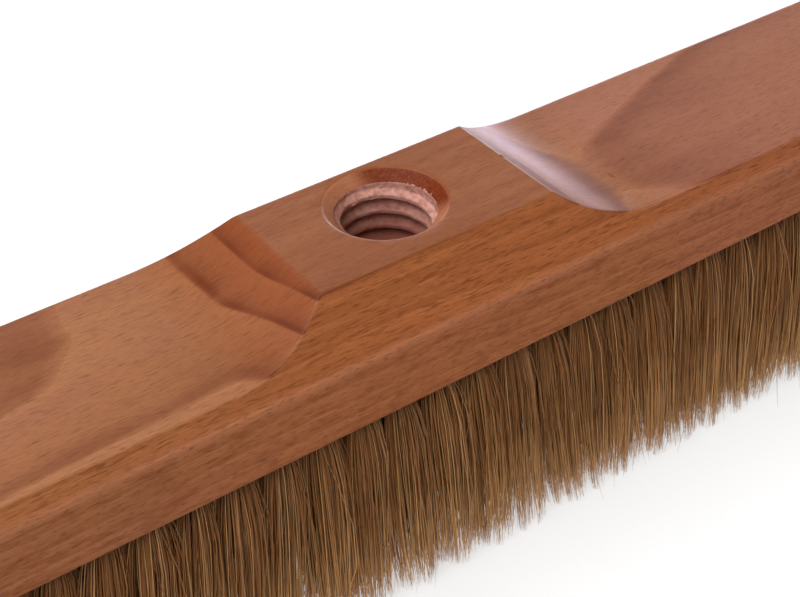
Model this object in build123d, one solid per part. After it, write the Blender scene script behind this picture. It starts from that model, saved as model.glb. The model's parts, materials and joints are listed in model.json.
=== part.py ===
from build123d import *
import math
import os

# Broom head: a beech stock with a raised boss that takes a screw-in handle. Tufts of natural
# bristle fill its sole, each folded over a flat wire staple in a blind hole.
# X runs along the stock, its front faces -Y and Z is up. The origin is the middle of the
# trimmed bristle tips, so the head stands on z = 0. Sizes are in millimetres.

# Stock
STOCK_LENGTH = 400.0
STOCK_HEIGHT = 28.0
TOP_WIDTH = 32.0
BEVEL_RUN = 9.3
BEVEL_DROP = 12.2
END_CORNER_RADIUS = 8.0
ARRIS_RADIUS = 0.8
BRISTLE_LENGTH = 48.0

# Boss, and the wings milled down beside it
BOSS_LENGTH = 56.0
WING_DROP = 8.6
COVE_RADIUS = 33.0

# Screwed handle hole, drilled from the top of the boss and a little off its middle
HOLE_X = -1.05
HOLE_Y = 1.7
HOLE_DEPTH = 17.0
CREST_RADIUS = 9.3
COUNTERSINK_RADIUS = 12.9
COUNTERSINK_DEPTH = 3.6
THREAD_DEPTH = 1.25
THREAD_PITCH = 3.75
GROOVE_MOUTH = 3.0
GROOVE_BOTTOM = 0.8
THREAD_END_GAP = 1.89

# Tuft holes: rows run along the stock and every second row is shifted by half a pitch
ROW_NAMES = ["front", "front_middle", "middle", "back_middle", "back"]
ROW_SPACING = 9.0
TUFT_PITCH = 9.3
LONG_ROW_TUFTS = 42
TUFT_HOLE_RADIUS = 2.75
TUFT_HOLE_DEPTH = 9.0
OUTER_ROW_FLARE = 9.0
END_TUFT_FAN = 6.0

# Tufts and staples
TUFT_PLAY = 0.05
TUFT_TIP_RADIUS = 4.3
STAPLE_BITE = 0.3
STAPLE_THICKNESS = 0.4
STAPLE_HEIGHT = 2.5
FOLD_HEIGHT = 2.2

# How far a cutting shape stands clear of what it cuts
CUT_MARGIN = 5.0
GROOVE_MARGIN = 0.3

# Worked-out sizes
STOCK_WIDTH = TOP_WIDTH + 2 * BEVEL_RUN
SOLE_Z = BRISTLE_LENGTH
TOP_Z = SOLE_Z + STOCK_HEIGHT
WING_Z = TOP_Z - WING_DROP
SIDE_TOP_Z = TOP_Z - BEVEL_DROP
COVE_LENGTH = math.sqrt(2 * COVE_RADIUS * WING_DROP - WING_DROP**2)


def stock_profile():
    """The section across the stock: flat sole, upright sides, bevels and a flat top."""
    half_width = STOCK_WIDTH / 2
    half_top = TOP_WIDTH / 2
    outline = [
        (-half_width, SOLE_Z),
        (half_width, SOLE_Z),
        (half_width, SIDE_TOP_Z),
        (half_top, TOP_Z),
        (-half_top, TOP_Z),
        (-half_width, SIDE_TOP_Z),
    ]
    section = Plane.YZ * make_face(Polyline(*outline, close=True))
    return Pos(-STOCK_LENGTH / 2, 0, 0) * extrude(section, STOCK_LENGTH)


def end_rounding():
    """A block with rounded upright corners, which gives the stock its plan outline."""
    plan = RectangleRounded(STOCK_LENGTH, STOCK_WIDTH, END_CORNER_RADIUS)
    return Pos(0, 0, SOLE_Z) * extrude(plan, STOCK_HEIGHT)


def wing_cut():
    """What the milling cutter takes off the +X wing: a cove that runs out into a flat."""
    boss_edge = BOSS_LENGTH / 2
    cove_end = boss_edge + COVE_LENGTH
    past_end = STOCK_LENGTH / 2 + CUT_MARGIN
    above = TOP_Z + CUT_MARGIN
    cove = RadiusArc((boss_edge, TOP_Z), (cove_end, WING_Z), COVE_RADIUS)
    wing = Polyline((cove_end, WING_Z), (past_end, WING_Z), (past_end, above))
    sky = Polyline((past_end, above), (boss_edge, above), (boss_edge, TOP_Z))
    section = Plane.XZ * make_face([cove, wing, sky])
    return extrude(section, STOCK_WIDTH, both=True)


def shaped_stock():
    """The stock before drilling, with its wings milled and every arris softened."""
    blank = stock_profile() & end_rounding()
    blank -= [wing_cut(), mirror(wing_cut(), Plane.YZ)]
    return fillet(blank.edges(), ARRIS_RADIUS)


def thread_groove():
    """The helical groove of the handle thread, with its crests on the hole's wall."""
    start_z = TOP_Z - HOLE_DEPTH + THREAD_END_GAP
    height = TOP_Z - start_z
    path = Pos(HOLE_X, HOLE_Y, start_z) * Helix(THREAD_PITCH, height, CREST_RADIUS)
    flank_slope = (GROOVE_MOUTH - GROOVE_BOTTOM) / 2 / THREAD_DEPTH
    inner_half = GROOVE_MOUTH / 2 + GROOVE_MARGIN * flank_slope
    outline = [
        (-GROOVE_MARGIN, -inner_half),
        (THREAD_DEPTH, -GROOVE_BOTTOM / 2),
        (THREAD_DEPTH, GROOVE_BOTTOM / 2),
        (-GROOVE_MARGIN, inner_half),
    ]
    across = Plane(origin=path @ 0, x_dir=(1, 0, 0), z_dir=path % 0)
    section = across * make_face(Polyline(*outline, close=True))
    return sweep(section, path=path, is_frenet=True)


def handle_hole():
    """The blind screwed hole with its countersunk mouth."""
    bore = Pos(0, 0, -HOLE_DEPTH / 2) * Cylinder(CREST_RADIUS, HOLE_DEPTH)
    mouth = Pos(0, 0, -COUNTERSINK_DEPTH / 2) * Cone(CREST_RADIUS, COUNTERSINK_RADIUS, COUNTERSINK_DEPTH)
    return Pos(HOLE_X, HOLE_Y, TOP_Z) * (bore + mouth) + thread_groove()


def tuft_frames(row):
    """The place of each tuft in a row: on the sole, with z along the tuft into the stock."""
    middle_row = (len(ROW_NAMES) - 1) / 2
    tufts = LONG_ROW_TUFTS - row % 2
    y = (row - middle_row) * ROW_SPACING
    flare = OUTER_ROW_FLARE * (row - middle_row) / middle_row
    reach = (LONG_ROW_TUFTS - 1) / 2
    frames = []
    for index in range(tufts):
        step = index - (tufts - 1) / 2
        fan = END_TUFT_FAN * step / reach
        frames.append(Location((step * TUFT_PITCH, y, SOLE_Z), (flare, -fan, 0)))
    return frames


def staple():
    """A flat wire staple across a tuft hole; its ends bite into the wood."""
    width = 2 * (TUFT_HOLE_RADIUS + STAPLE_BITE)
    low = TUFT_HOLE_DEPTH - FOLD_HEIGHT - STAPLE_HEIGHT
    return Pos(0, 0, low + STAPLE_HEIGHT / 2) * Box(width, STAPLE_THICKNESS, STAPLE_HEIGHT)


def tuft_hole():
    """A blind hole, started below the sole."""
    length = TUFT_HOLE_DEPTH + CUT_MARGIN
    return Pos(0, 0, TUFT_HOLE_DEPTH - length / 2) * Cylinder(TUFT_HOLE_RADIUS, length)


def tuft():
    """A bundle of bristle: packed tight in its hole and spreading towards its tips."""
    packed = TUFT_HOLE_RADIUS - TUFT_PLAY
    free = BRISTLE_LENGTH + CUT_MARGIN
    root_length = TUFT_HOLE_DEPTH - TUFT_PLAY
    root = Pos(0, 0, root_length / 2) * Cylinder(packed, root_length)
    spread = Pos(0, 0, -free / 2) * Cone(TUFT_TIP_RADIUS, packed, free)
    return root + spread - staple()


def save(name, shape):
    """Write one node of the assembly."""
    shape.label = name
    export_step(shape, f"parts/{name}.step")


os.makedirs("parts", exist_ok=True)

below_tips = Pos(0, 0, -CUT_MARGIN) * Box(2 * STOCK_LENGTH, 4 * STOCK_WIDTH, 2 * CUT_MARGIN)
frames_of_rows = [tuft_frames(row) for row in range(len(ROW_NAMES))]
all_frames = [frame for frames in frames_of_rows for frame in frames]

stock = shaped_stock() - handle_hole()
stock -= [frame * tuft_hole() for frame in all_frames]
stock -= [frame * staple() for frame in all_frames]
save("stock", stock)

for row_name, frames in zip(ROW_NAMES, frames_of_rows):
    tufts = [frame * tuft() - below_tips for frame in frames]
    staples = [frame * staple() for frame in frames]
    save(f"tufts_{row_name}_row", Compound(children=[tuft.solid() for tuft in tufts]))
    save(f"staples_{row_name}_row", Compound(children=[staple.solid() for staple in staples]))
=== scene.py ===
import json
import math

import bmesh
import bpy
import numpy as np
from mathutils import Matrix, Vector, noise


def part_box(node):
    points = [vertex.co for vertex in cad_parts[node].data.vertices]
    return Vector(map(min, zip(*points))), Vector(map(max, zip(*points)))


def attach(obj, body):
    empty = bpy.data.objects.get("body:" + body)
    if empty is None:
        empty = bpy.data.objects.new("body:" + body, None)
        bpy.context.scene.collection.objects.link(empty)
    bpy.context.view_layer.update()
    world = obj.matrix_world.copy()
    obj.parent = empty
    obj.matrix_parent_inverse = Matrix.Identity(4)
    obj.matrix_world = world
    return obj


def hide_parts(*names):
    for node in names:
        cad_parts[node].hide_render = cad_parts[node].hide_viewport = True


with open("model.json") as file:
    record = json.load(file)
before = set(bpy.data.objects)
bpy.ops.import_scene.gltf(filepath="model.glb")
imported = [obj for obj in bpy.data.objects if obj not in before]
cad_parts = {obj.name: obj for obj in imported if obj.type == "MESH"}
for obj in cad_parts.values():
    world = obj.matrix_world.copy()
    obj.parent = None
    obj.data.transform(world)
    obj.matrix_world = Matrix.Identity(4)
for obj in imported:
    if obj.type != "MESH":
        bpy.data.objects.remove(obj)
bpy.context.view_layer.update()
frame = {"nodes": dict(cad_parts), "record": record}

# Sizes are in millimetres, in the frame's own axes: X along the stock, front towards -Y, Z up.
MM = 0.001

# The stock's outline comes from its CAD box and the handle hole from its mount.
stock_low, stock_high = (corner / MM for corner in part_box("stock"))
HALF_LENGTH = stock_high.x
HALF_WIDTH = stock_high.y
SOLE_Z = stock_low.z
TOP_Z = stock_high.z
hole_mount = next(m for m in frame["record"]["mounts"] if m["name"] == "handle_thread")
HOLE_X, HOLE_Y = (value / MM for value in hole_mount["pos_m"][:2])
CREST_RADIUS = hole_mount["dims"]["r_mm"]

# Shape of the stock
BEVEL_RUN = 9.3
BEVEL_DROP = 12.2
WING_DROP = 8.6
HALF_BOSS = 28.0
COVE_RADIUS = 33.0
END_CORNER_RADIUS = 8.0
ARRIS_RADIUS = 0.8
CREST_SOFTNESS = {"left": 0.9, "right": 0.35}
SANDING_DEPTH = 0.06
HALF_TOP = HALF_WIDTH - BEVEL_RUN
WING_Z = TOP_Z - WING_DROP
COVE_LENGTH = math.sqrt(2 * COVE_RADIUS * WING_DROP - WING_DROP**2)

# Handle hole
HOLE_DEPTH = 17.0
COUNTERSINK_RADIUS = 12.9
COUNTERSINK_DEPTH = 3.6
THREAD_PITCH = 3.75
THREAD_DEPTH = 1.25
GROOVE_MOUTH = 3.0
GROOVE_BOTTOM = 0.8
GROOVE_TURN = 0.03
BROKEN_BELOW_CONE = 1.4
BROKEN_FADE = 0.8

# Tufts: rows from front to back, with every second row shifted by half a pitch
ROW_NAMES = ["front", "front_middle", "middle", "back_middle", "back"]
ROW_SPACING = 9.0
TUFT_PITCH = 9.3
LONG_ROW_TUFTS = 42
TUFT_HOLE_RADIUS = 2.75
TUFT_HOLE_DEPTH = 9.0
OUTER_ROW_FLARE = math.radians(9.0)
END_TUFT_FAN = math.radians(6.0)


# ---------------------------------------------------------------- meshes


def mesh_object(name, vertices, faces, closed=False):
    """A mesh object from millimetre points. A closed one gets its faces turned outward."""
    mesh = bpy.data.meshes.new(name)
    mesh.from_pydata((np.asarray(vertices, float) * MM).tolist(), [], faces)
    if closed:
        shell = bmesh.new()
        shell.from_mesh(mesh)
        bmesh.ops.recalc_face_normals(shell, faces=shell.faces)
        shell.to_mesh(mesh)
        shell.free()
    mesh.update()
    made = bpy.data.objects.new(name, mesh)
    bpy.context.scene.collection.objects.link(made)
    return made


def ring_faces(rows, columns, first=0):
    """Quads between neighbouring closed rings of points, and a cap on each end."""
    faces = []
    for row in range(rows - 1):
        low = first + row * columns
        high = low + columns
        for column in range(columns):
            after = (column + 1) % columns
            faces.append((low + column, low + after, high + after, high + column))
    top = first + (rows - 1) * columns
    faces.append(tuple(reversed(range(first, first + columns))))
    faces.append(tuple(range(top, top + columns)))
    return faces


def soft_lower(a, b, reach):
    """The lower of two heights, with the corner between them rounded over reach."""
    mix = min(max(0.5 + 0.5 * (b - a) / reach, 0.0), 1.0)
    return b + (a - b) * mix - reach * mix * (1.0 - mix)


# ---------------------------------------------------------------- stock


def top_height(x):
    """Height of the stock's top: flat boss, concave cove, then the lower wing."""
    inside = min(max(COVE_LENGTH - (abs(x) - HALF_BOSS), 0.0), COVE_RADIUS * 0.9)
    cove = WING_Z + COVE_RADIUS - math.sqrt(COVE_RADIUS**2 - inside**2)
    return soft_lower(TOP_Z, cove, CREST_SOFTNESS["right" if x > 0 else "left"])


def end_half_width(x):
    """Half the stock's width, which narrows round the upright corners of its ends."""
    past = min(max(abs(x) - (HALF_LENGTH - END_CORNER_RADIUS), 0.0), END_CORNER_RADIUS)
    return HALF_WIDTH - END_CORNER_RADIUS + math.sqrt(END_CORNER_RADIUS**2 - past**2)


def rounded_outline(corners, radius, arc_steps, shares_of_sides):
    """A closed outline with its corners rounded and points at the given shares of its sides."""
    arcs = []
    count = len(corners)
    for index, corner in enumerate(corners):
        here = np.array(corner)
        before = np.array(corners[index - 1]) - here
        after = np.array(corners[(index + 1) % count]) - here
        room = 0.45 * min(np.linalg.norm(before), np.linalg.norm(after))
        before /= np.linalg.norm(before)
        after /= np.linalg.norm(after)
        half_angle = math.acos(np.clip(before @ after, -1, 1)) / 2
        back_off = min(radius / math.tan(half_angle), room)
        start, end = here + before * back_off, here + after * back_off
        steps = np.linspace(0, 1, arc_steps)
        arcs.append([(1 - s) ** 2 * start + 2 * s * (1 - s) * here + s**2 * end for s in steps])
    outline = []
    for index, arc in enumerate(arcs):
        outline += arc
        ahead = arcs[(index + 1) % count][0]
        for share in shares_of_sides[index]:
            outline.append(arc[-1] + (ahead - arc[-1]) * share)
    return outline


def side_shares(pieces):
    """Shares along a side, with a close pair next to each corner that keeps the flat flat."""
    return [0.02, *np.linspace(0, 1, pieces + 1)[1:-1], 0.98]


# Shares for the six sides of a cross-section: side, bevel, top, bevel, side, sole
SIDE_SHARES = [side_shares(n) for n in (6, 6, 14, 6, 6, 14)]


def cross_section(x):
    """The stock's rounded outline across X, as (y, z) points."""
    end_round = max(abs(x) - (HALF_LENGTH - ARRIS_RADIUS), 0.0)
    inset = ARRIS_RADIUS - math.sqrt(max(ARRIS_RADIUS**2 - end_round**2, 0))
    slope = BEVEL_RUN / BEVEL_DROP
    least = 0.05
    width = end_half_width(x) - inset
    top = top_height(x) - inset
    top_edge = min(HALF_TOP + (TOP_Z - inset - top) * slope, width - least)
    bevel_foot = min(TOP_Z - inset - (width - HALF_TOP) / slope, top - least)
    corners = [
        (width, SOLE_Z + inset),
        (width, bevel_foot),
        (top_edge, top),
        (-top_edge, top),
        (-width, bevel_foot),
        (-width, SOLE_Z + inset),
    ]
    return rounded_outline(corners, ARRIS_RADIUS * 1.1, 6, SIDE_SHARES)


def section_places():
    """Where the cross-sections stand along X, closer together where the shape changes."""
    corner_start = HALF_LENGTH - END_CORNER_RADIUS
    turn = np.linspace(0, math.pi / 2, 13)
    half = np.concatenate([
        np.arange(0, HALF_BOSS - 2, 2.0),
        np.linspace(HALF_BOSS - 2, HALF_BOSS + 2, 21),
        np.arange(HALF_BOSS + 2.5, HALF_BOSS + COVE_LENGTH + 1, 0.75),
        np.arange(HALF_BOSS + COVE_LENGTH + 2, corner_start, 3.0),
        corner_start + (END_CORNER_RADIUS - ARRIS_RADIUS) * np.sin(turn[:-1]),
        HALF_LENGTH - ARRIS_RADIUS + ARRIS_RADIUS * np.sin(turn[::2]),
    ])
    half = np.unique(np.round(half, 4))
    return np.concatenate([-half[:0:-1], half])


def stock_blank():
    """The milled stock before any hole is drilled, a little uneven from sanding."""
    places = section_places()
    points = []
    for x in places:
        calm = min(1.0, (HALF_LENGTH - abs(x)) / 10.0)
        for y, z in cross_section(x):
            wave = noise.noise(Vector((x / 34.0, y / 11.0, z / 11.0))) * SANDING_DEPTH * calm
            points.append((x, y * (1 - abs(wave) / HALF_WIDTH), z - abs(wave)))
    faces = ring_faces(len(places), len(points) // len(places))
    return mesh_object("stock_blank", points, faces, closed=True)


def thread_radius(depth, turn):
    """Radius of the threaded wall at a depth below the top and a turn of 0 to 1."""
    phase = (depth / THREAD_PITCH + turn - GROOVE_TURN + 0.5) % 1.0
    from_middle = abs(phase - 0.5) * THREAD_PITCH
    if phase < 0.5:
        # Fibres over the first groove have broken off, so nothing overhangs it.
        middle_depth = depth + from_middle
        last_broken = COUNTERSINK_DEPTH + BROKEN_BELOW_CONE
        broken = min(max((last_broken - middle_depth) / BROKEN_FADE, 0.0), 1.0)
        from_middle *= 1.0 - broken
    share = (GROOVE_MOUTH / 2 - from_middle) / (GROOVE_MOUTH - GROOVE_BOTTOM) * 2
    share = min(max(share, 0.0), 1.0)
    return CREST_RADIUS + THREAD_DEPTH * (0.7 * share + 0.3 * share * share * (3 - 2 * share))


def torn_fibre(angle, depth):
    """How far the raw wall stands proud or is torn away, since the tap tears along the grain."""
    across_grain = math.sin(angle) ** 2
    fuzz = noise.noise(Vector((math.cos(angle) * 8, math.sin(angle) * 8, depth * 1.3)))
    tears = max(noise.noise(Vector((angle * 5, depth * 0.9, 4.0))) - 0.2, 0.0)
    return fuzz * 0.05 - tears * (0.15 + 0.25 * across_grain)


def handle_hole_cutter(sides=220):
    """A closed plug with the shape of the countersunk, threaded hole."""
    rim = COUNTERSINK_RADIUS
    steepness = (rim - CREST_RADIUS) / COUNTERSINK_DEPTH
    soft_rim = [(-1.0, rim + 1.5), (-0.05, rim + 0.55), (0.03, rim + 0.3), (0.15, rim + 0.05)]
    depths = np.arange(0.35, HOLE_DEPTH - 0.8, 0.15)
    points = []
    for depth, radius in [*soft_rim, *((depth, None) for depth in depths), (HOLE_DEPTH - 0.5, None)]:
        for side in range(sides):
            turn = side / sides
            angle = 2 * math.pi * turn
            wall = radius
            if wall is None:
                cone = rim - depth * steepness
                thread = thread_radius(depth, turn) + torn_fibre(angle, depth)
                wall = max(cone, thread)
            points.append((HOLE_X + wall * math.cos(angle), HOLE_Y + wall * math.sin(angle), TOP_Z - depth))
    for side in range(sides):
        angle = 2 * math.pi * side / sides
        foot = CREST_RADIUS - 0.5
        points.append((HOLE_X + foot * math.cos(angle), HOLE_Y + foot * math.sin(angle), TOP_Z - HOLE_DEPTH))
    return mesh_object("handle_hole_cutter", points, ring_faces(len(points) // sides, sides), closed=True)


def tuft_places(row):
    """(middle of the hole on the sole, direction from the sole to the tips) for each tuft of a row."""
    middle = (len(ROW_NAMES) - 1) / 2
    count = LONG_ROW_TUFTS - row % 2
    flare = OUTER_ROW_FLARE * (row - middle) / middle
    reach = (LONG_ROW_TUFTS - 1) / 2
    places = []
    for index in range(count):
        step = index - (count - 1) / 2
        fan = END_TUFT_FAN * step / reach
        down = Vector((math.tan(fan), math.tan(flare), -1.0)).normalized()
        places.append((Vector((step * TUFT_PITCH, (row - middle) * ROW_SPACING, SOLE_Z)), down))
    return places


def tuft_hole_cutters(sides=20):
    """Closed pegs that drill every tuft hole."""
    points = []
    faces = []
    for row in range(len(ROW_NAMES)):
        for place, down in tuft_places(row):
            across = down.cross(Vector((0, 1, 0))).normalized()
            along = down.cross(across)
            faces += ring_faces(2, sides, len(points))
            for end in (place + down * 2.0, place - down * TUFT_HOLE_DEPTH):
                for side in range(sides):
                    angle = 2 * math.pi * side / sides
                    spoke = across * math.cos(angle) + along * math.sin(angle)
                    points.append(end + spoke * TUFT_HOLE_RADIUS)
    return mesh_object("tuft_hole_cutters", points, faces, closed=True)


def crease_chip():
    """A small splintered notch in the right-hand crease of the boss."""
    ball = bmesh.new()
    bmesh.ops.create_icosphere(ball, subdivisions=2, radius=1.0)
    half_sizes = Vector((0.8, 0.6, 0.45))
    middle = Vector((HALF_BOSS + 0.2, 1.0, TOP_Z - 0.05))
    points = []
    for vertex in ball.verts:
        ragged = 1.0 + 0.5 * noise.noise(vertex.co * 1.9)
        points.append(middle + vertex.co * half_sizes * ragged)
    faces = [tuple(vertex.index for vertex in face.verts) for face in ball.faces]
    ball.free()
    return mesh_object("crease_chip", points, faces, closed=True)


def drilled(blank, cutters, name):
    """The blank with its cutters taken away, as one new closed mesh."""
    for cutter in cutters:
        modifier = blank.modifiers.new(cutter.name, "BOOLEAN")
        modifier.object = cutter
        modifier.operation = "DIFFERENCE"
        modifier.solver = "MANIFOLD"
    graph = bpy.context.evaluated_depsgraph_get()
    mesh = bpy.data.meshes.new_from_object(blank.evaluated_get(graph))
    mesh.name = name
    for spare in (blank, *cutters):
        bpy.data.objects.remove(spare)
    made = bpy.data.objects.new(name, mesh)
    bpy.context.scene.collection.objects.link(made)
    mesh.shade_smooth()
    mesh.set_sharp_from_angle(angle=math.radians(40))
    return made


# ---------------------------------------------------------------- material tools


def colour(red, green, blue):
    """A linear colour from the usual 0 to 255 screen values."""
    return (*(((c / 255 + 0.055) / 1.055) ** 2.4 if c > 10 else c / 3295 for c in (red, green, blue)), 1)


class Shader:
    """Builds one Principled material out of nodes, on places in millimetres."""

    def __init__(self, name, **settings):
        self.material = bpy.data.materials.new(name)
        self.material.use_nodes = True
        self.nodes = self.material.node_tree.nodes
        self.links = self.material.node_tree.links
        self.surface = self.nodes["Principled BSDF"]
        for socket, value in settings.items():
            self.surface.inputs[socket.replace("_", " ")].default_value = value
        to_millimetres = self.node("ShaderNodeVectorMath", operation="SCALE")
        to_millimetres.inputs["Scale"].default_value = 1 / MM
        self.feed(to_millimetres.inputs[0], self.node("ShaderNodeTexCoord").outputs["Object"])
        self.place = to_millimetres.outputs["Vector"]
        self.x, self.y, self.z = self.split(self.place)

    def node(self, kind, **settings):
        made = self.nodes.new(kind)
        for key, value in settings.items():
            setattr(made, key, value)
        return made

    def feed(self, socket, value):
        """Puts a number, colour or another node's output into a socket."""
        if isinstance(value, bpy.types.NodeSocket):
            self.links.new(value, socket)
        elif value is not None:
            socket.default_value = value

    def set_surface(self, name, value):
        """Feeds one of the surface's own sockets."""
        self.feed(self.surface.inputs[name], value)

    def math(self, operation, a, b=None, c=None):
        made = self.node("ShaderNodeMath", operation=operation)
        for socket, value in zip(made.inputs, (a, b, c)):
            self.feed(socket, value)
        return made.outputs[0]

    def add(self, a, b):
        return self.math("ADD", a, b)

    def minus(self, a, b):
        return self.math("SUBTRACT", a, b)

    def times(self, a, b):
        return self.math("MULTIPLY", a, b)

    def times_add(self, a, b, c):
        return self.math("MULTIPLY_ADD", a, b, c)

    def length(self, a, b):
        return self.math("SQRT", self.add(self.times(a, a), self.times(b, b)))

    def split(self, vector):
        made = self.node("ShaderNodeSeparateXYZ")
        self.feed(made.inputs[0], vector)
        return made.outputs

    def noise(self, vector, scale, detail):
        made = self.node("ShaderNodeTexNoise")
        self.feed(made.inputs["Vector"], vector)
        self.feed(made.inputs["Scale"], scale)
        self.feed(made.inputs["Detail"], detail)
        return made.outputs["Fac"]

    def stretched_noise(self, size, across=None, detail=1.0):
        """Noise whose spots have the given size along the grain, across it and upright."""
        if across is None:
            across = self.y
        where = self.node("ShaderNodeCombineXYZ")
        for socket, distance, length in zip(where.inputs, (self.x, across, self.z), size):
            self.feed(socket, self.times(distance, 1 / length))
        return self.noise(where.outputs[0], 1.0, detail)

    def range(self, value, low, high, to_low=0.0, to_high=1.0, smooth=False):
        made = self.node("ShaderNodeMapRange")
        made.interpolation_type = "SMOOTHSTEP" if smooth else "LINEAR"
        for socket, entry in zip(made.inputs, (value, low, high, to_low, to_high)):
            self.feed(socket, entry)
        return made.outputs[0]

    def curve(self, value, stops):
        """A grey ramp through (position, level) stops."""
        made = self.node("ShaderNodeValToRGB")
        ramp = made.color_ramp
        while len(ramp.elements) < len(stops):
            ramp.elements.new(0.5)
        for element, (position, level) in zip(ramp.elements, stops):
            element.position = position
            element.color = (level, level, level, 1)
        self.feed(made.inputs[0], value)
        return made.outputs["Color"]

    def mix(self, share, a, b):
        made = self.node("ShaderNodeMix", data_type="RGBA")
        self.feed(made.inputs["Factor"], share)
        self.feed(made.inputs["A"], a)
        self.feed(made.inputs["B"], b)
        return made.outputs["Result"]

    def bump(self, height, distance_mm, strength):
        made = self.node("ShaderNodeBump")
        made.inputs["Strength"].default_value = strength
        made.inputs["Distance"].default_value = distance_mm * MM
        self.feed(made.inputs["Height"], height)
        self.set_surface("Normal", made.outputs["Normal"])


# ---------------------------------------------------------------- beech

EARLYWOOD = colour(145, 92, 58)
LATEWOOD = colour(92, 38, 12)
PALE_STREAK = colour(154, 102, 64)
SPRING_WOOD = colour(172, 120, 84)
ROSY_WOOD = colour(136, 82, 63)
PINK_WOOD = colour(156, 99, 84)
RIPE_WOOD = colour(120, 64, 36)
FIBRE_BROWN = colour(112, 62, 33)
RAY_BROWN = colour(80, 38, 17)
BEVEL_RAY = colour(88, 44, 18)
# Darker orange of faces turned to the left end: partly end grain, partly painted shade
END_GRAIN_AND_SHADE = colour(120, 56, 20)
CUT_ORANGE = colour(164, 88, 38)
CUT_TAN = colour(172, 112, 82)
RED_MOTTLE = colour(114, 54, 20)
DEEP_ORANGE = colour(98, 35, 4)
# Pale tone of a painted sheen along the long edges between bevels and sides
EDGE_SHEEN_TONE = colour(162, 104, 74)
RAW_WOOD = colour(200, 150, 136)
# Dark raw wood, also used as painted shade deep in the handle hole and on its left and front wall
RAW_DARK_AND_SHADE = colour(110, 56, 44)

# Sizes of the wood's spots and lines along the grain, across it and upright
RAY_SIZE = (3.6, 0.19, 6.0)
BROAD_RAY_SIZE = (3.8, 0.34, 5.0)
FINE_RAY_SIZE = (1.6, 0.12, 3.0)
FIBRE_SIZE = (20.0, 0.26, 0.5)
STREAK_SIZE = (80.0, 3.4, 4.4)
DARK_STREAK_SIZE = (70.0, 1.5, 2.0)
MOTTLE_SIZE = (4.2, 3.0, 1.2)
CLOUD_SIZE = (40.0, 14.0, 14.0)
RING_WOBBLE_SIZE = (60.0, 14.0, 14.0)
RING_PATCH_SIZE = (26.0, 9.0, 60.0)
TORN_SPOT_SIZE = (0.7, 0.5, 0.6)
FUZZ_SIZE = (1.3, 1.3, 0.9)
RAY_LEAN = 0.35

# Growth rings: how thick one is, how dark it is by its age, and the lower edge of one of them.
# That edge's heights are over the sole, its slopes are heights per millimetre to the side, and
# its curves are heights per square millimetre.
RING_THICKNESS = 4.0
RING_DARKNESS = [(0.0, 0.0), (0.05, 0.9), (0.11, 1.0), (0.24, 0.55), (0.5, 0.2), (1.0, 0.0)]
RING_WOBBLE = 0.5
RING_SIDE_SOFTNESS = 5.0
RING_END_SOFTNESS = 6.0
LEFT_RING_HEIGHT = 20.7
LEFT_FRONT_Y = 1.0
LEFT_FRONT_RISE = 0.14
LEFT_BACK_Y = 6.0
LEFT_BACK_FALL = 0.02
LEFT_END_X = -41.0
LEFT_END_FALL = 0.043
LEFT_END_LEAST_FALL = 0.008
LEFT_END_TWIST = 0.0017
RIGHT_RING_HEIGHT = 19.4
RIGHT_RING_X = 48.0
RIGHT_FALL = 0.043
RIGHT_AXIS_Y = -6.0
RIGHT_BACK_CURVE = 0.0029
RIGHT_FRONT_CURVE = 0.0012
MIDDLE_STRETCH = (-14.0, 24.0)

# Stretches along X over which the wood turns pink, its bevels and sides orange, and its bevels brown
PINK_STRETCH = (44.0, 60.0)
ORANGE_STRETCH = (-80.0, -20.0)
BROWN_STRETCH = (10.0, 80.0)

MARK_X = 50.0
MARK_Y = -9.0
MARK_HALF_X = 0.5
MARK_HALF_Y = 1.3
SHEEN_REACH = 2.2

# How fast the countersink's right-hand back, with its stain and painted shade, comes nearer along X and
# along Y
STAIN_AND_SHADE_AIM = (0.084, 0.035)

COAT_ON_TOP = 0.7
COAT_ON_SIDES = 0.08


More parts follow.
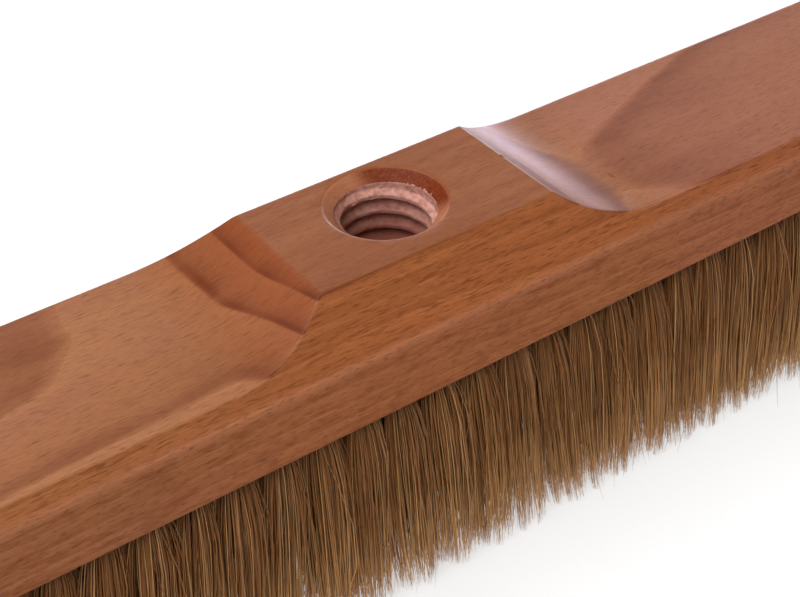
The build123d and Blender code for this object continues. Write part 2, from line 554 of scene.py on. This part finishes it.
class Beech(Shader):
    """A shader for the stock, with the figure of steamed beech at every point of the block."""

    def __init__(self, name, **settings):
        super().__init__(name, **settings)
        self.above_sole = self.minus(self.z, SOLE_Z)

        # Rays are thin upright sheets that lean a little, so the top cuts them into dashes
        # and the sides cut them into broad flecks.
        self.across = self.times_add(self.above_sole, RAY_LEAN, self.y)
        self.rays = self.flecks(RAY_SIZE, 0.62, 0.72, self.across, 0.3)
        self.broad_rays = self.flecks(BROAD_RAY_SIZE, 0.54, 0.7, self.across, 1.0)
        self.fine_rays = self.flecks(FINE_RAY_SIZE, 0.56, 0.72, self.across, 0.5)
        self.fibres = self.stretched_noise(FIBRE_SIZE, self.across, 3.0)
        self.streaks = self.stretched_noise(STREAK_SIZE, self.across, 2.0)

        # Which way the surface faces decides how the figure is cut. Where it faces the left end, in the
        # left-hand cove,
        # it is painted darker orange: partly its end grain, partly painted shade.
        normal_x, normal_y, normal_z = self.split(self.node("ShaderNodeNewGeometry").outputs["Normal"])
        levelness = self.math("ABSOLUTE", normal_z)
        self.steep = self.range(levelness, 0.72, 0.63)
        self.wall = self.range(levelness, 0.45, 0.2)
        self.bevel = self.minus(self.steep, self.wall)
        self.level = self.range(levelness, 0.95, 0.995)
        self.facing_side = self.range(self.math("ABSOLUTE", normal_y), 0.1, 0.45)
        self.end_grain_and_shade = self.range(self.times(normal_x, -1.0), 0.02, 0.5, 0.0, 0.7)

        # The countersink, how near its right-hand back is, and its deep orange there:
        # partly lacquer stain in its cut fibres, partly painted shade
        from_hole_x = self.minus(self.x, HOLE_X)
        from_hole_y = self.minus(self.y, HOLE_Y)
        away = self.length(from_hole_x, from_hole_y)
        near_hole = self.range(away, COUNTERSINK_RADIUS + 0.35, COUNTERSINK_RADIUS - 0.25)
        self.cone = self.times(near_hole, self.range(self.z, TOP_Z - 0.02, TOP_Z - 0.16))
        self.stain_and_shade_side = self.add(
            self.times(from_hole_x, STAIN_AND_SHADE_AIM[0]), self.times(from_hole_y, STAIN_AND_SHADE_AIM[1])
        )
        self.stain_and_shade = self.times(self.cone, self.range(self.stain_and_shade_side, 0.3, 0.78, smooth=True))

    def flecks(self, size, low, high, across=None, detail=2.0):
        """Separate soft spots: the peaks of a stretched noise."""
        return self.range(self.stretched_noise(size, across, detail), low, high, smooth=True)

    def positive_part(self, value, softness):
        """A value where it is over zero, and zero elsewhere, with a soft corner."""
        return self.math("SMOOTH_MAX", value, 0.0, softness)

    def ring_height(self):
        """Height of a ring's lower edge over the sole: a low dome that falls to the ends."""
        in_front = self.positive_part(self.minus(LEFT_FRONT_Y, self.y), RING_SIDE_SOFTNESS)
        behind = self.positive_part(self.minus(self.y, LEFT_BACK_Y), RING_SIDE_SOFTNESS)
        past_left = self.positive_part(self.minus(LEFT_END_X, self.x), RING_END_SOFTNESS)
        fall = self.times_add(self.math("MINIMUM", self.y, 0.0), LEFT_END_TWIST, LEFT_END_FALL)
        fall = self.math("MAXIMUM", fall, LEFT_END_LEAST_FALL)
        left = self.times_add(in_front, LEFT_FRONT_RISE, LEFT_RING_HEIGHT)
        left = self.minus(left, self.times(past_left, fall))
        left = self.minus(left, self.times(behind, LEFT_BACK_FALL))

        from_axis = self.minus(self.y, RIGHT_AXIS_Y)
        to_back = self.math("POWER", self.math("MAXIMUM", from_axis, 0.0), 2.0)
        to_front = self.math("POWER", self.math("MAXIMUM", self.times(from_axis, -1.0), 0.0), 2.0)
        right = self.times_add(self.minus(RIGHT_RING_X, self.x), RIGHT_FALL, RIGHT_RING_HEIGHT)
        right = self.times_add(to_back, RIGHT_BACK_CURVE, right)
        right = self.times_add(to_front, RIGHT_FRONT_CURVE, right)

        to_right = self.range(self.x, *MIDDLE_STRETCH, smooth=True)
        dome = self.times_add(self.minus(right, left), to_right, left)
        wobble = self.minus(self.stretched_noise(RING_WOBBLE_SIZE), 0.5)
        return self.times_add(wobble, RING_WOBBLE, dome)

    def tool_mark(self):
        """A small dark mark across the right wing."""
        beside = self.times(self.minus(self.x, MARK_X), 1 / MARK_HALF_X)
        along = self.times(self.minus(self.y, MARK_Y), 1 / MARK_HALF_Y)
        away = self.add(self.times(beside, beside), self.times(along, along))
        mark = self.range(away, 1.3, 0.3, 0.0, 0.75, smooth=True)
        return self.times(mark, self.range(self.x, 0.0, 10.0))

    def painted_edge_sheen(self):
        """The long edges between bevels and sides, painted paler as a sheen: the floor's reflection on them.
        """
        beside = self.minus(self.math("ABSOLUTE", self.y), HALF_WIDTH)
        over = self.minus(self.z, TOP_Z - BEVEL_DROP)
        near_edge = self.range(self.length(beside, over), SHEEN_REACH, 0.0, smooth=True)
        return self.times(near_edge, self.range(self.fine_rays, 0.0, 1.0, 0.55, 0.1))

    def grown_tone(self, ring):
        """The wood's own colour, which changes within a ring and along the block."""
        clouds = self.stretched_noise(CLOUD_SIZE, detail=2.0)
        within_ring = self.range(self.math("FRACT", ring), 0.5, 1.0, 0.0, 0.24)
        ripe = self.range(ring, 0.88, 1.35, 0.0, 0.5, smooth=True)
        ripe = self.times(ripe, self.range(self.streaks, 0.36, 0.64, 0.6, 1.3))
        tone = self.mix(self.range(self.streaks, 0.35, 0.68, 0.0, 0.45), EARLYWOOD, PALE_STREAK)
        tone = self.mix(within_ring, tone, SPRING_WOOD)
        tone = self.mix(self.range(clouds, 0.4, 0.7, 0.0, 0.35), tone, ROSY_WOOD)
        tone = self.mix(self.range(self.x, *PINK_STRETCH, 0.0, 0.44, smooth=True), tone, PINK_WOOD)
        return self.mix(self.times(ripe, self.minus(1.0, self.steep)), tone, RIPE_WOOD)

    def latewood(self, ring):
        """Dark bands that start sharply with each ring, patchy along it, and faint on steep faces."""
        bands = self.curve(self.math("FRACT", ring), RING_DARKNESS)
        patches = self.stretched_noise(RING_PATCH_SIZE)
        bands = self.times(bands, self.range(patches, 0.3, 0.65, 0.45, 1.0))
        bands = self.times(bands, self.range(self.steep, 0.0, 1.0, 1.0, 0.28))
        return self.times(bands, self.range(self.level, 0.0, 1.0, 1.25, 0.75))

    def tone(self):
        """The colour of the sanded wood under its lacquer."""
        ring = self.minus(self.above_sole, self.ring_height())
        ring = self.times(ring, 1 / RING_THICKNESS)
        orange = self.times(self.steep, self.range(self.x, *ORANGE_STRETCH, 0.2, 0.5, smooth=True))
        fibre_share = self.range(self.fibres, 0.3, 0.7, 0.0, self.range(self.steep, 0.0, 1.0, 0.24, 0.42))
        tone = self.mix(orange, self.grown_tone(ring), CUT_ORANGE)
        tone = self.mix(fibre_share, tone, FIBRE_BROWN)
        # Darker orange where the surface faces the left end: partly end grain, partly painted shade.
        tone = self.mix(self.end_grain_and_shade, tone, END_GRAIN_AND_SHADE)
        tone = self.mix(self.times(self.latewood(ring), 0.8), tone, LATEWOOD)
        tone = self.mix(self.times(self.rays, self.range(self.steep, 0.0, 1.0, 0.5, 0.2)), tone, RAY_BROWN)

        dark_streaks = self.flecks(DARK_STREAK_SIZE, 0.45, 0.7, self.across)
        mottle = self.flecks(MOTTLE_SIZE, 0.46, 0.68)
        brown = self.times(self.bevel, self.range(self.x, *BROWN_STRETCH, 0.0, 0.28))
        tone = self.mix(brown, tone, RIPE_WOOD)
        tone = self.mix(self.times(dark_streaks, self.times(self.bevel, 0.34)), tone, FIBRE_BROWN)
        tone = self.mix(self.times(self.broad_rays, self.times(self.bevel, 0.52)), tone, BEVEL_RAY)
        tone = self.mix(self.times(mottle, self.times(self.wall, 0.45)), tone, RED_MOTTLE)
        tone = self.mix(self.times(self.fine_rays, 0.36), tone, RAY_BROWN)
        tone = self.mix(self.tool_mark(), tone, RED_MOTTLE)
        # Painted sheen: the edges between bevels and sides paler, standing for the bright floor's
        # reflection.
        tone = self.mix(self.painted_edge_sheen(), tone, EDGE_SHEEN_TONE)

        torn_spots = self.range(self.stretched_noise(TORN_SPOT_SIZE), 0.35, 0.75, 1.0, 0.84, smooth=True)
        tone = self.mix(self.times(self.cone, self.range(self.fibres, 0.35, 0.65, 0.8, 0.5)), tone, CUT_TAN)
        # The countersink's right-hand back in deep orange: partly lacquer stain in cut fibres, partly
        # painted shade.
        return self.mix(self.times(self.stain_and_shade, torn_spots), tone, DEEP_ORANGE)

    def lacquer(self):
        """How thick the lacquer lies: thin on the bevels and sides, and where cut fibres drank it."""
        soaked_in = self.math("MAXIMUM", self.stain_and_shade, self.range(self.end_grain_and_shade, 0.0, 0.35, 0.0, 0.85))
        thin = self.math("MAXIMUM", self.facing_side, soaked_in)
        return self.range(thin, 0.0, 1.0, COAT_ON_TOP, COAT_ON_SIDES)


def lacquered_beech():
    s = Beech("beech_lacquered", Coat_Roughness=0.34, Specular_IOR_Level=0.04)
    sunken_rays = s.math("MAXIMUM", s.rays, s.times(s.broad_rays, s.steep))
    s.set_surface("Coat Weight", s.lacquer())
    s.set_surface("Base Color", s.tone())
    s.set_surface("Roughness", s.range(s.fibres, 0.3, 0.7, 0.42, 0.56))
    s.bump(s.minus(s.times(s.fibres, 0.5), s.times(sunken_rays, 0.6)), 0.03, 0.5)
    return s.material


def raw_beech():
    s = Beech("beech_raw", Specular_IOR_Level=0.2)
    fuzz = s.stretched_noise(FUZZ_SIZE, detail=3.0)
    depth = s.minus(TOP_Z, s.z)
    pale = s.mix(s.range(fuzz, 0.1, 0.6), RAW_DARK_AND_SHADE, RAW_WOOD)
    # Painted shade: the raw wall darker the deeper it lies in the hole.
    pale = s.mix(s.range(depth, 4.0, 14.0, 0.0, 0.9), pale, RAW_DARK_AND_SHADE)
    # Painted shade: the raw wall darker on the hole's left and front, away from its right-hand back.
    pale = s.mix(s.range(s.stain_and_shade_side, 0.45, -0.3, 0.0, 0.55, smooth=True), pale, RAW_DARK_AND_SHADE)
    s.set_surface("Base Color", s.mix(0.8, s.tone(), pale))
    s.set_surface("Roughness", s.range(fuzz, 0.3, 0.7, 0.8, 0.95))
    s.bump(fuzz, 0.08, 0.6)
    return s.material


TORN_SIDE = math.radians(15)
TORN_REACH = 1.3
TORN_RAGGEDNESS = 0.8
LEAST_RAW_DEPTH = 0.8


def is_raw(centre):
    """Whether a face of the drilled stock is bare wood: the threaded wall or the torn lip over it."""
    from_axis = math.hypot(centre.x - HOLE_X, centre.y - HOLE_Y)
    angle = math.atan2(centre.y - HOLE_Y, centre.x - HOLE_X)
    depth = TOP_Z - centre.z
    ragged = noise.noise(Vector((math.cos(angle) * 5, math.sin(angle) * 5, 2.0)))
    ragged += 0.6 * noise.noise(Vector((math.cos(angle) * 24, math.sin(angle) * 24, 5.0)))
    torn = max(math.cos((angle - TORN_SIDE) * 1.25), 0.0) * (TORN_REACH + TORN_RAGGEDNESS * ragged)
    cone = COUNTERSINK_RADIUS - depth * (COUNTERSINK_RADIUS - CREST_RADIUS) / COUNTERSINK_DEPTH
    in_hole = from_axis < CREST_RADIUS + THREAD_DEPTH + 0.3 + torn and depth > LEAST_RAW_DEPTH
    return in_hole and (depth > COUNTERSINK_DEPTH - 0.05 - torn or from_axis > cone + 0.04)


blank_block = stock_blank()
hole_cutters = [handle_hole_cutter(), tuft_hole_cutters(), crease_chip()]
wood_block = drilled(blank_block, hole_cutters, "beech_stock")
wood_block.data.materials.clear()
wood_block.data.materials.append(lacquered_beech())
wood_block.data.materials.append(raw_beech())
for face in wood_block.data.polygons:
    face.material_index = int(is_raw(face.center / MM))
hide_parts("stock")
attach(wood_block, "root")


# ---------------------------------------------------------------- bristles

HAIRS_PER_TUFT = {"front": 370, "front_middle": 130, "middle": 90, "back_middle": 130, "back": 370}
PIECES_PER_ROW = {"front": 4, "front_middle": 2, "middle": 2, "back_middle": 2, "back": 4}
HAIR_SIDES = 3
HAIR_RADIUS = 0.105
ROOT_DEPTH = 1.2

# Places along a hair from root to tip, and its thickness at each of them
HAIR_SHARES = np.array([0.0, 0.05, 0.12, 0.25, 0.45, 0.68, 0.87, 1.0])
HAIR_TAPER = HAIR_RADIUS * np.array([1.0, 1.0, 1.0, 1.0, 0.97, 0.88, 0.65, 0.2])

# How the hairs of a tuft spread, and how their ends draw together in locks
TIP_SPREAD = 5.6
TIP_SCATTER = 0.55
LOCKS_PER_TUFT = 26
LOCK_PULL = 0.75
SPLAY_POWER = 6.5
LOCK_POWER = 5

# How far single hairs and whole tufts bend to a side on their way
CURL = 0.6
WAVE = 0.3
TUFT_BOW = 0.5
STRAY_SHARE = 0.03
STRAY_REACH = 2.6
STRAY_CURL = 4.0

# How much shorter than the tuft its locks, its hairs and its few broken hairs are
LOCK_SHORTFALL = 0.9
HAIR_SHORTFALL = 0.6
BROKEN_SHARE = 0.09
BROKEN_SHORTFALL = 8

# How far the tufts on each side of a gap lean away from it, by the gap's number along a row
PARTINGS = {-9: 0.5, -7: 0.7, -4: 0.6, -2: 0.5, -1: 0.4, 0: 0.3, 1: 0.5, 2: 1.2, 3: 0.4, 5: 0.6, 8: 0.6}

# How far the tips of a tuft lie to the left, because use has combed the rows
INNER_LEAN = -2.0
LEAN_SCATTER = 0.5
OUTER_LEAN = -4.4
LEAN_SWING = 4.0
LEAN_PEAK_X = -86.0
LEAN_HALF_WAVE = 104.0


def outer_lean(x):
    """The lean of a tuft in an outer row, which swings slowly along the row."""
    return OUTER_LEAN - LEAN_SWING * math.cos((x - LEAN_PEAK_X) * math.pi / LEAN_HALF_WAVE)


def in_disc(random, count):
    """Random points in a disc of radius 1, as (count, 2)."""
    reach = np.sqrt(random.uniform(0, 1, count))
    angle = random.uniform(0, 2 * math.pi, count)
    return np.stack([reach * np.cos(angle), reach * np.sin(angle)], 1)


def tuft_hairs(place, down, count, lean, random):
    """Points of a tuft's hairs as (hair, step, xyz). They splay below the stock and end in locks."""
    share = HAIR_SHARES[None, :, None]
    root = in_disc(random, count)
    spread = TIP_SPREAD * random.uniform(0.94, 1.08)
    tip = root * spread + random.normal(0, TIP_SCATTER, (count, 2))
    locks = in_disc(random, LOCKS_PER_TUFT) * (spread + 0.4)
    lock = np.argmin(((tip[:, None, :] - locks[None, :, :]) ** 2).sum(2), axis=1)
    gather = random.uniform(0.0, LOCK_PULL, (count, 1))
    lock_tip = tip * (1 - gather) + locks[lock] * gather
    lock_shortfall = np.abs(random.normal(0, LOCK_SHORTFALL, LOCKS_PER_TUFT))
    stray = random.uniform(0, 1, (count, 1)) < STRAY_SHARE
    lock_tip = lock_tip + random.normal(0, STRAY_REACH, (count, 2)) * stray
    curl = random.normal(0, CURL, (count, 2)) + random.normal(0, STRAY_CURL, (count, 2)) * stray
    wave = random.normal(0, WAVE, (count, 2))
    bow = random.normal(0, TUFT_BOW, 2)

    fall = SOLE_Z / -down.z
    aim = np.array([down.x * fall + lean, down.y * fall])
    line = np.array([place.x, place.y]) + aim * share
    line = line + root[:, None, :] * (TUFT_HOLE_RADIUS - 0.3) * (1 - share) ** 2
    line = line + tip[:, None, :] * (1 - (1 - share) ** SPLAY_POWER) * (1 - share**LOCK_POWER)
    line = line + lock_tip[:, None, :] * share**LOCK_POWER
    line = line + (curl[:, None, :] + bow) * 4 * share**1.5 * (1 - share)
    line = line + wave[:, None, :] * np.sin(2 * math.pi * share)
    shorter = lock_shortfall[lock] + np.abs(random.normal(0, HAIR_SHORTFALL, count))
    shorter += random.uniform(0, BROKEN_SHORTFALL, count) * (random.uniform(0, 1, count) < BROKEN_SHARE)
    height = SOLE_Z + ROOT_DEPTH - (SOLE_Z + ROOT_DEPTH - shorter)[:, None] * share[:, :, 0]
    return np.concatenate([line, height[:, :, None]], 2)


def hairs_of(row, tufts, random):
    """The hairs of some tufts of a row, with a random shade for each hair."""
    outer = row in (0, len(ROW_NAMES) - 1)
    lines = []
    for place, down in tufts:
        gap = place.x / TUFT_PITCH
        lean = random.normal(0, LEAN_SCATTER) + INNER_LEAN
        if outer:
            parted = PARTINGS.get(math.floor(gap), 0) - PARTINGS.get(math.ceil(gap), 0)
            lean = outer_lean(place.x) + random.normal(0, LEAN_SCATTER) + parted
        lines.append(tuft_hairs(place, down, HAIRS_PER_TUFT[ROW_NAMES[row]], lean, random))
    lines = np.concatenate(lines)
    return lines, random.uniform(0, 1, len(lines))


def hair_mesh(name, lines, shades, random):
    """Thin closed tubes along the hairs' points, each with its shade and its place along the hair."""
    count, rings, _ = lines.shape
    thick = random.uniform(0.75, 1.2, count)
    # The sides run clockwise seen from above, so that the tubes' faces point outward.
    corner_turns = np.arange(HAIR_SIDES) * 2 * math.pi / HAIR_SIDES
    turn = random.uniform(0, 2 * math.pi, count)[:, None] - corner_turns
    spokes = np.stack([np.cos(turn), np.sin(turn), np.zeros_like(turn)], 2)
    radii = HAIR_TAPER[None, :] * thick[:, None]
    points = lines[:, :, None, :] + spokes[:, None, :, :] * radii[:, :, None, None]
    points_per_hair = rings * HAIR_SIDES
    starts = np.arange(count)[:, None] * points_per_hair
    side_faces = np.array(ring_faces(rings, HAIR_SIDES)[:-2])
    quads = (side_faces[None, :, :] + starts[:, :, None]).reshape(-1, 4)
    cap = np.arange(HAIR_SIDES)
    roots = cap[::-1][None, :] + starts
    tips = cap[None, :] + starts + (rings - 1) * HAIR_SIDES
    made = mesh_object(name, points.reshape(-1, 3), [*quads.tolist(), *roots.tolist(), *tips.tolist()])
    shade = made.data.attributes.new("strand_shade", "FLOAT", "POINT")
    shade.data.foreach_set("value", np.repeat(shades, points_per_hair))
    along = made.data.attributes.new("strand_length", "FLOAT", "POINT")
    along.data.foreach_set("value", np.tile(np.repeat(HAIR_SHARES, HAIR_SIDES), count))
    made.data.shade_smooth()
    return made


HAIR_ROOT = colour(134, 84, 41)
HAIR_MIDDLE = colour(143, 92, 43)
HAIR_TIP = colour(204, 152, 96)
HAIR_DARK = colour(80, 44, 18)
HAIR_BLOND = colour(216, 172, 114)
HAIR_PATCH_SIZE = (7.0, 5.0, 22.0)
HAIR_GRIME_SIZE = (1.0, 1.0, 3.0)


def bristle_material():
    s = Shader("bristle", Specular_IOR_Level=0.3)
    shade = s.node("ShaderNodeAttribute", attribute_name="strand_shade").outputs["Fac"]
    along = s.node("ShaderNodeAttribute", attribute_name="strand_length").outputs["Fac"]
    patchy = s.stretched_noise(HAIR_PATCH_SIZE, detail=2.0)
    along = s.add(along, s.range(patchy, 0.3, 0.7, -0.12, 0.12))
    tone = s.mix(s.range(along, 0.1, 0.6), HAIR_ROOT, HAIR_MIDDLE)
    tone = s.mix(s.range(along, 0.5, 1.0), tone, HAIR_TIP)
    tone = s.mix(s.range(shade, 0.0, 0.3, 0.55, 0.0), tone, HAIR_DARK)
    tone = s.mix(s.range(shade, 0.72, 1.0, 0.0, 0.5), tone, HAIR_BLOND)
    s.set_surface("Base Color", tone)
    grime = s.stretched_noise(HAIR_GRIME_SIZE, detail=3.0)
    s.set_surface("Roughness", s.range(grime, 0.3, 0.7, 0.34, 0.52))
    s.bump(grime, 0.02, 0.4)
    return s.material


bristle = bristle_material()
random = np.random.default_rng(11)
for row, row_name in enumerate(ROW_NAMES):
    tufts = tuft_places(row)
    parts = PIECES_PER_ROW[row_name]
    for part in range(parts):
        first = len(tufts) * part // parts
        last = len(tufts) * (part + 1) // parts
        lines, shades = hairs_of(row, tufts[first:last], random)
        piece = hair_mesh(f"hair_{row_name}_{part + 1}", lines, shades, random)
        piece.data.materials.append(bristle)
        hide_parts(f"tufts_{row_name}_row")
        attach(piece, "root")


# ---------------------------------------------------------------- staples


WIRE_GREY = colour(168, 166, 160)
WIRE_TARNISH = colour(120, 112, 100)
WIRE_LINES = colour(92, 88, 82)
WIRE_LINE_SIZE = (1.6, 0.08, 0.08)


def staple_material():
    s = Shader("staple_steel", Metallic=1.0)
    drawn = s.stretched_noise(WIRE_LINE_SIZE, detail=3.0)
    tarnish = s.noise(s.place, 0.6, 3.0)
    tone = s.mix(s.range(tarnish, 0.4, 0.7), WIRE_GREY, WIRE_TARNISH)
    s.set_surface("Base Color", s.mix(s.range(drawn, 0.3, 0.7, 0.0, 0.5), tone, WIRE_LINES))
    s.set_surface("Roughness", s.range(drawn, 0.3, 0.7, 0.28, 0.5))
    s.bump(drawn, 0.02, 0.5)
    return s.material


steel = staple_material()
for row_name in ROW_NAMES:
    staple_row = frame["nodes"][f"staples_{row_name}_row"]
    staple_row.data.materials.clear()
    staple_row.data.materials.append(steel)


# ---------------------------------------------------------------- camera, light and floor

CAMERA_PLACE = Vector((-134.3, -205.1, SOLE_Z + 197.0))
CAMERA_AZIMUTH = math.radians(-33.3)
CAMERA_ELEVATION = math.radians(38.24)
CAMERA_ROLL = math.radians(-2.3)
CAMERA_LENS = 66.7
SENSOR_WIDTH = 36.0
FLOOR_HALF_SIZE = 12000
FLOOR_GREYS = (colour(166, 166, 166), colour(172, 172, 172))

# The room's light at the horizon and overhead, and the heights between which it fades,
# as the sine of the angle over the horizon
HORIZON_LIGHT = 0.7
OVERHEAD_LIGHT = 0.2
FADE_START = 0.12
FADE_END = 0.42


def add_camera():
    back = Vector((
        math.sin(CAMERA_AZIMUTH) * math.cos(CAMERA_ELEVATION),
        -math.cos(CAMERA_AZIMUTH) * math.cos(CAMERA_ELEVATION),
        math.sin(CAMERA_ELEVATION),
    ))
    right = (-back).cross(Vector((0, 0, 1))).normalized()
    level = Matrix((right, back.cross(right), back)).transposed()
    data = bpy.data.cameras.new("camera")
    data.lens = CAMERA_LENS
    data.sensor_width = SENSOR_WIDTH
    data.clip_start = 0.01
    camera = bpy.data.objects.new("camera", data)
    turned = (level @ Matrix.Rotation(CAMERA_ROLL, 3, "Z")).to_4x4()
    camera.matrix_world = Matrix.Translation(CAMERA_PLACE * MM) @ turned
    bpy.context.scene.collection.objects.link(camera)
    bpy.context.scene.camera = camera


def add_softbox(name, place, target, width, height, power, tint=(1, 1, 1)):
    """A soft rectangular light at a place in millimetres that faces its target."""
    data = bpy.data.lights.new(name, "AREA")
    data.shape = "RECTANGLE"
    data.size = width * MM
    data.size_y = height * MM
    data.energy = power
    data.color = tint
    light = bpy.data.objects.new(name, data)
    light.location = Vector(place) * MM
    light.visible_camera = False
    light.rotation_euler = (Vector(target) - Vector(place)).to_track_quat("-Z", "Y").to_euler()
    bpy.context.scene.collection.objects.link(light)


def add_floor():
    size = FLOOR_HALF_SIZE
    corners = [(-size, -size, 0), (size, -size, 0), (size, size, 0), (-size, size, 0)]
    floor = mesh_object("floor", corners, [(0, 1, 2, 3)])
    s = Shader("floor_white", Roughness=0.8, Specular_IOR_Level=0.1, Emission_Strength=0.55)
    grain = s.noise(s.place, 0.02, 3.0)
    s.set_surface("Base Color", s.mix(grain, *FLOOR_GREYS))
    s.surface.inputs["Emission Color"].default_value = (1, 1, 1, 1)
    floor.data.materials.append(s.material)


def add_studio_walls():
    """A white room whose light is strong at the horizon and weak overhead."""
    world = bpy.data.worlds.new("world")
    world.use_nodes = True
    nodes = world.node_tree.nodes
    links = world.node_tree.links
    direction = nodes.new("ShaderNodeTexCoord").outputs["Generated"]
    split = nodes.new("ShaderNodeSeparateXYZ")
    links.new(direction, split.inputs[0])
    fade = nodes.new("ShaderNodeMapRange")
    fade.interpolation_type = "SMOOTHSTEP"
    limits = (FADE_START, FADE_END, HORIZON_LIGHT, OVERHEAD_LIGHT)
    for socket, value in zip(fade.inputs[1:5], limits):
        socket.default_value = value
    links.new(split.outputs["Z"], fade.inputs[0])
    links.new(fade.outputs[0], nodes["Background"].inputs["Strength"])
    nodes["Background"].inputs["Color"].default_value = (1, 1, 1, 1)
    bpy.context.scene.world = world


add_camera()
add_floor()
add_softbox("top_softbox", (-600, -20, 1250), (0, 0, 40), width=2000, height=1200, power=36.0)
back_place = (530, 850, 85)
back_tint = (0.84, 0.76, 1.0)
add_softbox("back_softbox", back_place, (0, 0, 60), width=800, height=170, power=3.3, tint=back_tint)
add_studio_walls()
bpy.context.scene.view_settings.view_transform = "Standard"
